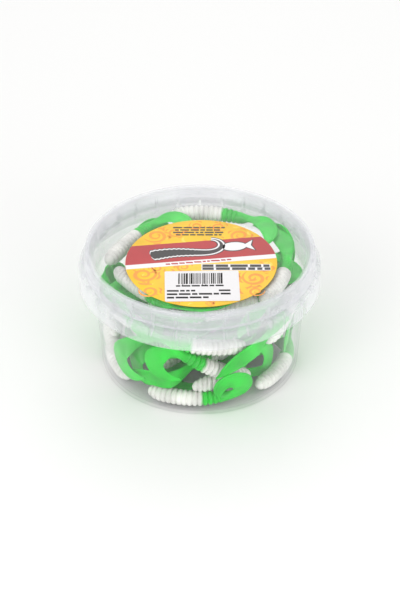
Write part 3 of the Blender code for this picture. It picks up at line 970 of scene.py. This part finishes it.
def make_straight_worm(props):
    """A straight worm along +X: the ribbed body is spun, and the tail is extruded from its end ring by ring."""
    worm = start_piece("straight_worm")
    outline = ribbed_outline(props.rib_pitch / MM, props.rib_depth / MM)
    draw([(x, r, 0.0) for x, r in outline])
    bpy.ops.mesh.select_all(action="SELECT")
    bpy.ops.mesh.spin(steps=WORM_SIDES, angle=TURN, center=(0, 0, 0), axis=(1, 0, 0))
    bpy.ops.mesh.select_all(action="SELECT")
    bpy.ops.mesh.remove_doubles(threshold=0.002 * MM)
    last, radius = outline[-1]
    pick(worm, lambda x, y, z: x > last - 0.01)
    wide, thick = radius, radius
    for number in range(1, TAIL_STEPS + 1):
        t = number / TAIL_STEPS
        x = BODY_L + t * TAIL_L
        bpy.ops.mesh.extrude_region_move(TRANSFORM_OT_translate={"value": ((x - last) * MM, 0, 0)})
        bpy.ops.transform.resize(value=(1.0, tail_half_width(t) / wide, tail_half_thickness(t) / thick),
                                 center_override=(x * MM, 0, 0))
        last, wide, thick = x, tail_half_width(t), tail_half_thickness(t)
    bpy.ops.mesh.edge_face_add()
    blade = BODY_L + 0.24 * TAIL_L

    def share(x, y):
        return y / tail_half_width((x - BODY_L) / TAIL_L)

    pick(worm, lambda x, y, z: x > blade and share(x, y) < 0.7)
    bpy.ops.transform.resize(value=(1.0, 1.0, 0.5), center_override=(0, 0, 0))
    pick(worm, lambda x, y, z: x > blade and share(x, y) > 0.7)
    bpy.ops.transform.resize(value=(1.0, 1.0, 1.75), center_override=(0, 0, 0))
    clean_up()
    along = worm.data.attributes.new("along", "FLOAT", "POINT")
    for vert, value in zip(worm.data.vertices, along.data):
        value.value = vert.co.x / MM
    shade(worm, 75.0)
    paint(worm, "worm")
    return worm


def on_wall(a, b, depth):
    """A point on the wall's bed: arc length from the front, height and depth inwards."""
    turn = a / BED_R - math.pi / 2
    r = wall_in(b) - depth
    return r * math.cos(turn), r * math.sin(turn), b


def under_lid(a, b, depth):
    return a, b, PANEL_Z - PANEL_T - depth


def on_floor(a, b, depth):
    return a, b, FLOOR_Z + depth


def heading_at(s, worm):
    """Heading in radians at a length s from the nose."""
    heading = worm["heading"] + worm["bend"] * (min(s, BODY_L) / BODY_L - 0.5)
    t = max(0.0, s - BODY_L) / TAIL_L
    return math.radians(heading + worm["curl"] * (0.35 * t + 0.65 * smooth(t)))


def depth_at(s, worm):
    lean = math.tan(math.radians(worm["lean"]))
    body = worm["depth"] + (min(s, BODY_L) - BODY_L / 2) * lean
    return body + (worm["tail"] - body) * smooth((s - BODY_L) / (0.42 * TAIL_L))


def centreline(worm, stations):
    """(a, b, heading, depth) at each station, with the middle of the body at the worm's place."""
    count = int((BODY_L + TAIL_L) / PATH_STEP) + 1
    points = [(0.0, 0.0)]
    for i in range(count):
        angle = heading_at((i + 0.5) * PATH_STEP, worm)
        a, b = points[-1]
        points.append((a + PATH_STEP * math.cos(angle), b + PATH_STEP * math.sin(angle)))
    middle = points[int(BODY_L / 2 / PATH_STEP)]
    found = []
    for s in stations:
        i = min(int(s / PATH_STEP), count - 1)
        part = s / PATH_STEP - i
        a = points[i][0] + (points[i + 1][0] - points[i][0]) * part - middle[0] + worm["a"]
        b = points[i][1] + (points[i + 1][1] - points[i][1]) * part - middle[1] + worm["b"]
        found.append((a, b, heading_at(s, worm), depth_at(s, worm)))
    return found


def outline_mesh(worm, spare=0.0):
    """Points and faces of a worm's plain form, thicker by the spare all round, for finding it a place."""
    stations = [u * BODY_L for u in BODY_STATIONS] + [BODY_L + t * TAIL_L for t in TAIL_STATIONS]
    sizes = [(body_radius(u), body_radius(u)) for u in BODY_STATIONS]
    sizes += [(tail_half_width(t), tail_half_thickness(t)) for t in TAIL_STATIONS]
    points = []
    for (a, b, heading, depth), (wide, thick) in zip(centreline(worm, stations), sizes):
        for k in range(OUTLINE_SIDES):
            angle = 2 * math.pi * k / OUTLINE_SIDES
            v = (wide + spare) * math.cos(angle)
            w = (thick + spare) * math.sin(angle)
            points.append(worm["bed"](a - v * math.sin(heading), b + v * math.cos(heading), depth + w))
    last = len(points) - OUTLINE_SIDES
    faces = [tuple(range(OUTLINE_SIDES)), tuple(range(len(points) - 1, last - 1, -1))]
    for start in range(0, last, OUTLINE_SIDES):
        for k in range(OUTLINE_SIDES):
            j = (k + 1) % OUTLINE_SIDES
            faces.append((start + k, start + j, start + OUTLINE_SIDES + j, start + OUTLINE_SIDES + k))
    return points, faces


# Packing of the worms


def wall_worm(turn, height, heading, bend=0.0, lean=0.0, curl=200.0, depth=BODY_NEAR, tail=TAIL_NEAR):
    return {"bed": on_wall, "a": math.radians(turn) * BED_R, "b": height, "heading": heading, "bend": bend,
            "lean": lean, "curl": curl, "depth": depth, "tail": tail}


def flat_worm(bed, x, y, heading, bend=0.0, lean=0.0, curl=200.0, depth=BODY_NEAR, tail=TAIL_NEAR):
    return {"bed": bed, "a": x, "b": y, "heading": heading, "bend": bend,
            "lean": lean, "curl": curl, "depth": depth, "tail": tail}


def front_worms():
    """The worms that show through the front of the wall, nearest first."""
    low = FLOOR_Z + BODY_NEAR
    return [
        wall_worm(-10, low, 1, curl=290),
        wall_worm(12.5, 22.6, 152, bend=-8, curl=225, depth=BODY_UNDER, tail=TAIL_UNDER),
        wall_worm(6, 37.0, 174, bend=4, curl=-60, depth=BODY_UNDER, tail=TAIL_UNDER),
        wall_worm(74, 43.0, 190, bend=10, curl=30),
        wall_worm(24, 21.5, 192, depth=22.0, lean=-14, curl=10),
        wall_worm(19, 12.8, 0, depth=11.5, lean=21, curl=200, tail=24.0),
        wall_worm(63, low, 0, bend=-4, curl=165),
        wall_worm(10, 11.5, 8, depth=24.0, curl=125),
        wall_worm(-14, 31.5, 182, depth=BODY_SECOND, curl=205),
        wall_worm(-76, low, 180, curl=-180),
        wall_worm(-12, 21.5, 180, depth=BODY_SECOND + 8.6, curl=190),
        wall_worm(-84, 17.0, 178, bend=-8, curl=-190),
        wall_worm(-62, 42.5, 184, bend=-8, curl=190),
        wall_worm(-92, 30.0, 182, curl=200),
        wall_worm(62, 33.0, 176, depth=BODY_SECOND, curl=-150, tail=TAIL_UNDER),
        wall_worm(70, 18.5, 182, depth=BODY_UNDER, curl=-180),
    ]


def top_worms():
    """The worms that show through the lid, uppermost first."""
    return [
        flat_worm(under_lid, 2.5, 46.0, -3, bend=-45, curl=-84),
        flat_worm(under_lid, -37, 17.5, 57, bend=-16, curl=-190),
        flat_worm(under_lid, -30.5, -19, -48, bend=24, curl=62),
        flat_worm(under_lid, 38.5, -13.5, 66, bend=30, curl=64, tail=TAIL_UNDER),
        flat_worm(under_lid, 16.0, 11.0, 224, bend=-8, curl=-170, depth=BODY_NEAR + 0.6),
        flat_worm(under_lid, -22, -2, 176, bend=10, curl=210, depth=BODY_NEAR + 6.0, tail=8.0),
        flat_worm(under_lid, 10, -34.5, 192, bend=-26, curl=-200, depth=BODY_NEAR + 2.0, tail=6.0),
        flat_worm(under_lid, 2, 28, 160, bend=20, curl=170, depth=BODY_NEAR + 1.0),
        flat_worm(under_lid, 8, -14, 20, bend=-12, curl=-180, depth=BODY_NEAR + 1.0),
        flat_worm(under_lid, -14, 12, 20, curl=150, depth=BODY_NEAR + 4.0, tail=6.0),
    ]


def back_worms():
    """Rows of worms round the back of the wall, each row turned a little from the one below."""
    worms = []
    for row, height in enumerate((FLOOR_Z + BODY_NEAR, 18.0, 30.5, 43.0)):
        for column in range(3 + row % 2):
            way = 1 if (row + column) % 2 else -1
            turn = 118.0 + 64.0 * column - 24.0 * (row % 2)
            heading = (0.0 if way > 0 else 180.0) + 9.0 * math.sin(2.4 * row + 1.7 * column) * min(row, 1)
            worms.append(wall_worm(turn, height, heading, bend=-10.0 * way, curl=200.0 * way))
    return worms


def middle_worms():
    """Layers of worms in the middle of the heap, each layer turned from the one below."""
    worms = []
    for layer in range(MIDDLE_LAYERS):
        turn = 20.0 + 62.0 * layer
        depth = BODY_NEAR + MIDDLE_LAYER_PITCH * layer
        for row in range(MIDDLE_ROWS):
            across = MIDDLE_ROW_PITCH * (row - (MIDDLE_ROWS - 1) / 2)
            way = 1 if (layer + row) % 2 else -1
            angle = math.radians(turn)
            x = -across * math.sin(angle) - MIDDLE_SHIFT * way * math.cos(angle)
            y = across * math.cos(angle) - MIDDLE_SHIFT * way * math.sin(angle)
            heading = turn if way > 0 else turn + 180.0
            worms.append(flat_worm(on_floor, x, y, heading, bend=8.0 * way, curl=200.0, depth=depth, tail=depth))
    return worms


def filler_worm(chance):
    """A worm for a gap that still shows, behind the wall, under the lid or in the heap."""
    kind = chance.random()
    way = chance.choice((-1, 1))
    if kind < WALL_SHARE:
        deep = chance.uniform(BODY_NEAR, 20.0)
        return wall_worm(chance.uniform(0.0, 360.0), chance.uniform(6.0, 52.0), chance.uniform(-20.0, 20.0) +
                         (180.0 if chance.random() < 0.5 else 0.0), bend=chance.uniform(-15.0, 15.0),
                         curl=way * chance.uniform(80.0, 220.0), depth=deep, tail=max(TAIL_NEAR, deep - 2.0))
    if kind < LID_SHARE:
        turn = chance.uniform(0.0, TURN)
        out = chance.uniform(10.0, 36.0)
        deep = chance.uniform(BODY_NEAR, 16.0)
        return flat_worm(under_lid, out * math.cos(turn), out * math.sin(turn), chance.uniform(0.0, 360.0),
                         bend=chance.uniform(-30.0, 30.0), curl=way * chance.uniform(80.0, 210.0), depth=deep,
                         tail=max(TAIL_NEAR, deep - 2.0))
    turn = chance.uniform(0.0, TURN)
    out = chance.uniform(0.0, 30.0)
    deep = chance.uniform(BODY_NEAR, 50.0)
    return flat_worm(on_floor, out * math.cos(turn), out * math.sin(turn), chance.uniform(0.0, 360.0),
                     bend=chance.uniform(-25.0, 25.0), lean=chance.uniform(-14.0, 14.0),
                     curl=way * chance.uniform(120.0, 210.0), depth=deep, tail=deep)


def inside(points):
    """Whether every point has its gap to the tub and the lid."""
    for x, y, z in points:
        r = math.hypot(x, y) + SKIN_GAP
        if z < FLOOR_Z + SKIN_GAP or z > PANEL_Z - PANEL_T - SKIN_GAP or r > wall_in(z):
            return False
        if r - wall_in(FLOOR_Z) + CORNER > z - FLOOR_Z:
            return False
    return True


def nudged(worm, reach, chance):
    """A copy of the worm with each value moved by chance, as far as reach (0 to 1) allows."""
    moved = dict(worm)
    for key, most in NUDGES.items():
        least = 0.0 if key in INWARD_ONLY else -most
        moved[key] += reach * chance.uniform(least, most)
    return moved


def settled(worm, placed, chance, spare=WORM_GAP, tries=TRIES):
    """The worm where it clears the plastic and every worm placed before, moved no further than it needs."""
    for attempt in range(tries):
        trial = nudged(worm, attempt / tries, chance)
        points, faces = outline_mesh(trial, spare)
        if inside(points):
            shape = BVHTree.FromPolygons(points, faces)
            if not any(shape.overlap(other) for other in placed):
                placed.append(BVHTree.FromPolygons(*outline_mesh(trial, min(0.0, spare))))
                return trial
    return None


def packed_worms():
    """The worms that find room where they are listed, each with its number, and the forms that fill their places."""
    placed = []
    listed = front_worms() + top_worms() + back_worms() + middle_worms()
    settled_worms = [(number, settled(worm, placed, Random(SEED + number))) for number, worm in enumerate(listed, 1)]
    return [(number, worm) for number, worm in settled_worms if worm], placed


def filler_worms(placed, count):
    """More worms for the gaps. Each may overlap its neighbours by the share that FILLER_SPARE gives."""
    chance = Random(SEED + 100)
    found = []
    for _ in range(FILLER_ROUNDS * count):
        if len(found) < count:
            worm = settled(filler_worm(chance), placed, chance, FILLER_SPARE, FILLER_TRIES)
            if worm:
                found.append(worm)
    return found


def core_worms(count):
    """Worms that fill the middle with colour. None is tested against another, so they pass through worms."""
    chance = Random(SEED + 200)
    found = []
    while len(found) < count:
        turn = chance.uniform(0.0, TURN)
        out = chance.uniform(0.0, CORE_R)
        deep = chance.uniform(6.0, 50.0)
        worm = flat_worm(on_floor, out * math.cos(turn), out * math.sin(turn), chance.uniform(0.0, 360.0),
                         bend=chance.uniform(-25.0, 25.0), lean=chance.uniform(-12.0, 12.0),
                         curl=chance.choice((-1, 1)) * chance.uniform(170.0, 230.0), depth=deep, tail=deep)
        points = outline_mesh(worm)[0]
        if inside(points) and max(math.hypot(x, y) for x, y, z in points) < CORE_R + CORE_OVERHANG:
            found.append(worm)
    return found


def lay_worm(straight, worm, name):
    """A copy of the straight worm, bent along a path. Blender's own bend needs a window, so its points are moved."""
    select_only(straight)
    bpy.ops.object.duplicate()
    obj = bpy.context.object
    obj.name = name
    obj.data.name = name
    points = np.empty(len(obj.data.vertices) * 3, np.float32)
    obj.data.vertices.foreach_get("co", points)
    points = points.reshape(-1, 3) / MM
    stations, index = np.unique(np.round(points[:, 0], 3), return_inverse=True)
    path = centreline(worm, [float(s) for s in stations])
    bead_side = -1.0 if worm["curl"] > 0 else 1.0
    laid = np.empty_like(points)
    for i, (_, across, deep) in enumerate(points):
        a, b, heading, depth = path[index[i]]
        v = bead_side * across
        laid[i] = worm["bed"](a - v * math.sin(heading), b + v * math.cos(heading), depth + deep)
    obj.data.vertices.foreach_set("co", (laid * MM).ravel())
    obj.data.update()
    bpy.ops.object.mode_set(mode="EDIT")
    bpy.ops.mesh.select_all(action="SELECT")
    bpy.ops.mesh.normals_make_consistent(inside=False)
    bpy.ops.object.mode_set(mode="OBJECT")
    return obj


class WORMTUB_OT_worms(bpy.types.Operator):
    """Model one straight worm, then lay a bent copy in every place of the heap"""

    bl_idname = "wormtub.worms"
    bl_label = "Curly-tail worms"

    def execute(self, context):
        props = context.scene.worm_tub_worm
        straight = make_straight_worm(props)
        found, placed = packed_worms()
        for number, worm in found:
            obj = lay_worm(straight, worm, f"worm_{number:02d}")
            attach(obj, "tub")
            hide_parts(f"bait_{number:02d}")
        fillers = filler_worms(placed, props.filler_count)
        fillers += core_worms(props.core_count)
        for start in range(0, len(fillers), FILLER_GROUP):
            laid = [lay_worm(straight, worm, "filler") for worm in fillers[start : start + FILLER_GROUP]]
            heap = join(laid)
            heap.name = f"filler_worms_{start // FILLER_GROUP + 1}"
            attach(heap, "tub")
        bpy.data.objects.remove(straight)
        return {"FINISHED"}


# Stage


def add_light(name, place, aim, size, power):
    bpy.ops.object.light_add(type="AREA", location=place)
    light = bpy.context.object
    light.name = name
    light.data.shape = "DISK"
    light.data.size = size
    light.data.energy = power
    light.rotation_euler = (Vector(aim) - Vector(place)).to_track_quat("-Z", "Y").to_euler()


class WORMTUB_OT_stage(bpy.types.Operator):
    """Add the floor, the soft lights, the world and the camera"""

    bl_idname = "wormtub.stage"
    bl_label = "Stage"

    def execute(self, context):
        props = context.scene.worm_tub_stage
        bpy.ops.object.select_all(action="DESELECT")
        bpy.ops.mesh.primitive_plane_add(size=6.0, location=(0, 0, -0.0002))
        floor = bpy.context.object
        floor.name = "floor"
        material, tree = new_material("pale_backing_paper")
        place = add_node(tree, "ShaderNodeTexCoord").outputs["Object"]
        grain = add_noise(tree, place, 2.0, 3.0)
        rough = add_node(tree, "ShaderNodeBump", {"Strength": 0.02, "Distance": 0.05 * MM},
                         {"Height": grain.outputs["Fac"]})
        shader = add_node(tree, "ShaderNodeBsdfPrincipled", {"Base Color": (*props.floor, 1.0), "Roughness": 0.9},
                          {"Normal": rough.outputs["Normal"]})
        finish_material(tree, shader.outputs[0])
        floor.data.materials.append(material)
        add_light("key_softbox", (-0.45, -0.65, 0.6), (0, 0, 0.03), 0.5, 2.0)
        add_light("fill_softbox", (0.55, -0.75, 0.35), (0, 0, 0.03), 0.6, 1.8)
        add_light("back_softbox", (0.05, 0.6, 0.7), (0, 0, 0.04), 0.5, 0.8)
        world = bpy.data.worlds.new("soft_white_room")
        world.use_nodes = True
        world.node_tree.nodes["Background"].inputs["Color"].default_value = (1.0, 1.0, 1.0, 1.0)
        world.node_tree.nodes["Background"].inputs["Strength"].default_value = 0.86
        context.scene.world = world
        context.scene.view_settings.view_transform = "Standard"
        aim = Vector((0, 0, 33.88 * MM))
        back = Vector((0, -math.cos(props.elevation), math.sin(props.elevation))) * props.distance
        bpy.ops.object.camera_add(location=aim + back, rotation=(math.pi / 2 - props.elevation, 0, 0))
        camera = bpy.context.object
        camera.data.lens = props.lens
        camera.data.sensor_width = 36.0
        context.scene.camera = camera
        return {"FINISHED"}


class WORMTUB_PT_panel(bpy.types.Panel):
    """Lists the pieces of the tub and their settings"""

    bl_idname = "WORMTUB_PT_panel"
    bl_label = "Worm Tub"
    bl_space_type = "VIEW_3D"
    bl_region_type = "UI"
    bl_category = "Worm Tub"

    def draw(self, context):
        for group in ("worm_tub_tub", "worm_tub_worm", "worm_tub_label", "worm_tub_stage"):
            props = getattr(context.scene, group)
            box = self.layout.box()
            for name in props.__annotations__:
                box.prop(props, name)
        for operator in OPERATORS:
            self.layout.operator(operator.bl_idname)


GROUPS = {
    "worm_tub_tub": TubProperties,
    "worm_tub_worm": WormProperties,
    "worm_tub_label": LabelProperties,
    "worm_tub_stage": StageProperties,
}
OPERATORS = (
    WORMTUB_OT_tub,
    WORMTUB_OT_tear_tab,
    WORMTUB_OT_lid,
    WORMTUB_OT_label,
    WORMTUB_OT_sticker,
    WORMTUB_OT_worms,
    WORMTUB_OT_stage,
)


def register():
    for group, kind in GROUPS.items():
        bpy.utils.register_class(kind)
        setattr(bpy.types.Scene, group, PointerProperty(type=kind))
    for kind in OPERATORS:
        bpy.utils.register_class(kind)
    bpy.utils.register_class(WORMTUB_PT_panel)


def unregister():
    bpy.utils.unregister_class(WORMTUB_PT_panel)
    for kind in reversed(OPERATORS):
        bpy.utils.unregister_class(kind)
    for group, kind in GROUPS.items():
        delattr(bpy.types.Scene, group)
        bpy.utils.unregister_class(kind)


def main():
    register()
    bpy.ops.wormtub.tub()
    bpy.ops.wormtub.tear_tab()
    bpy.ops.wormtub.lid()
    bpy.ops.wormtub.label()
    bpy.ops.wormtub.sticker()
    bpy.ops.wormtub.worms()
    bpy.ops.wormtub.stage()


if __name__ == "__main__":
    main()
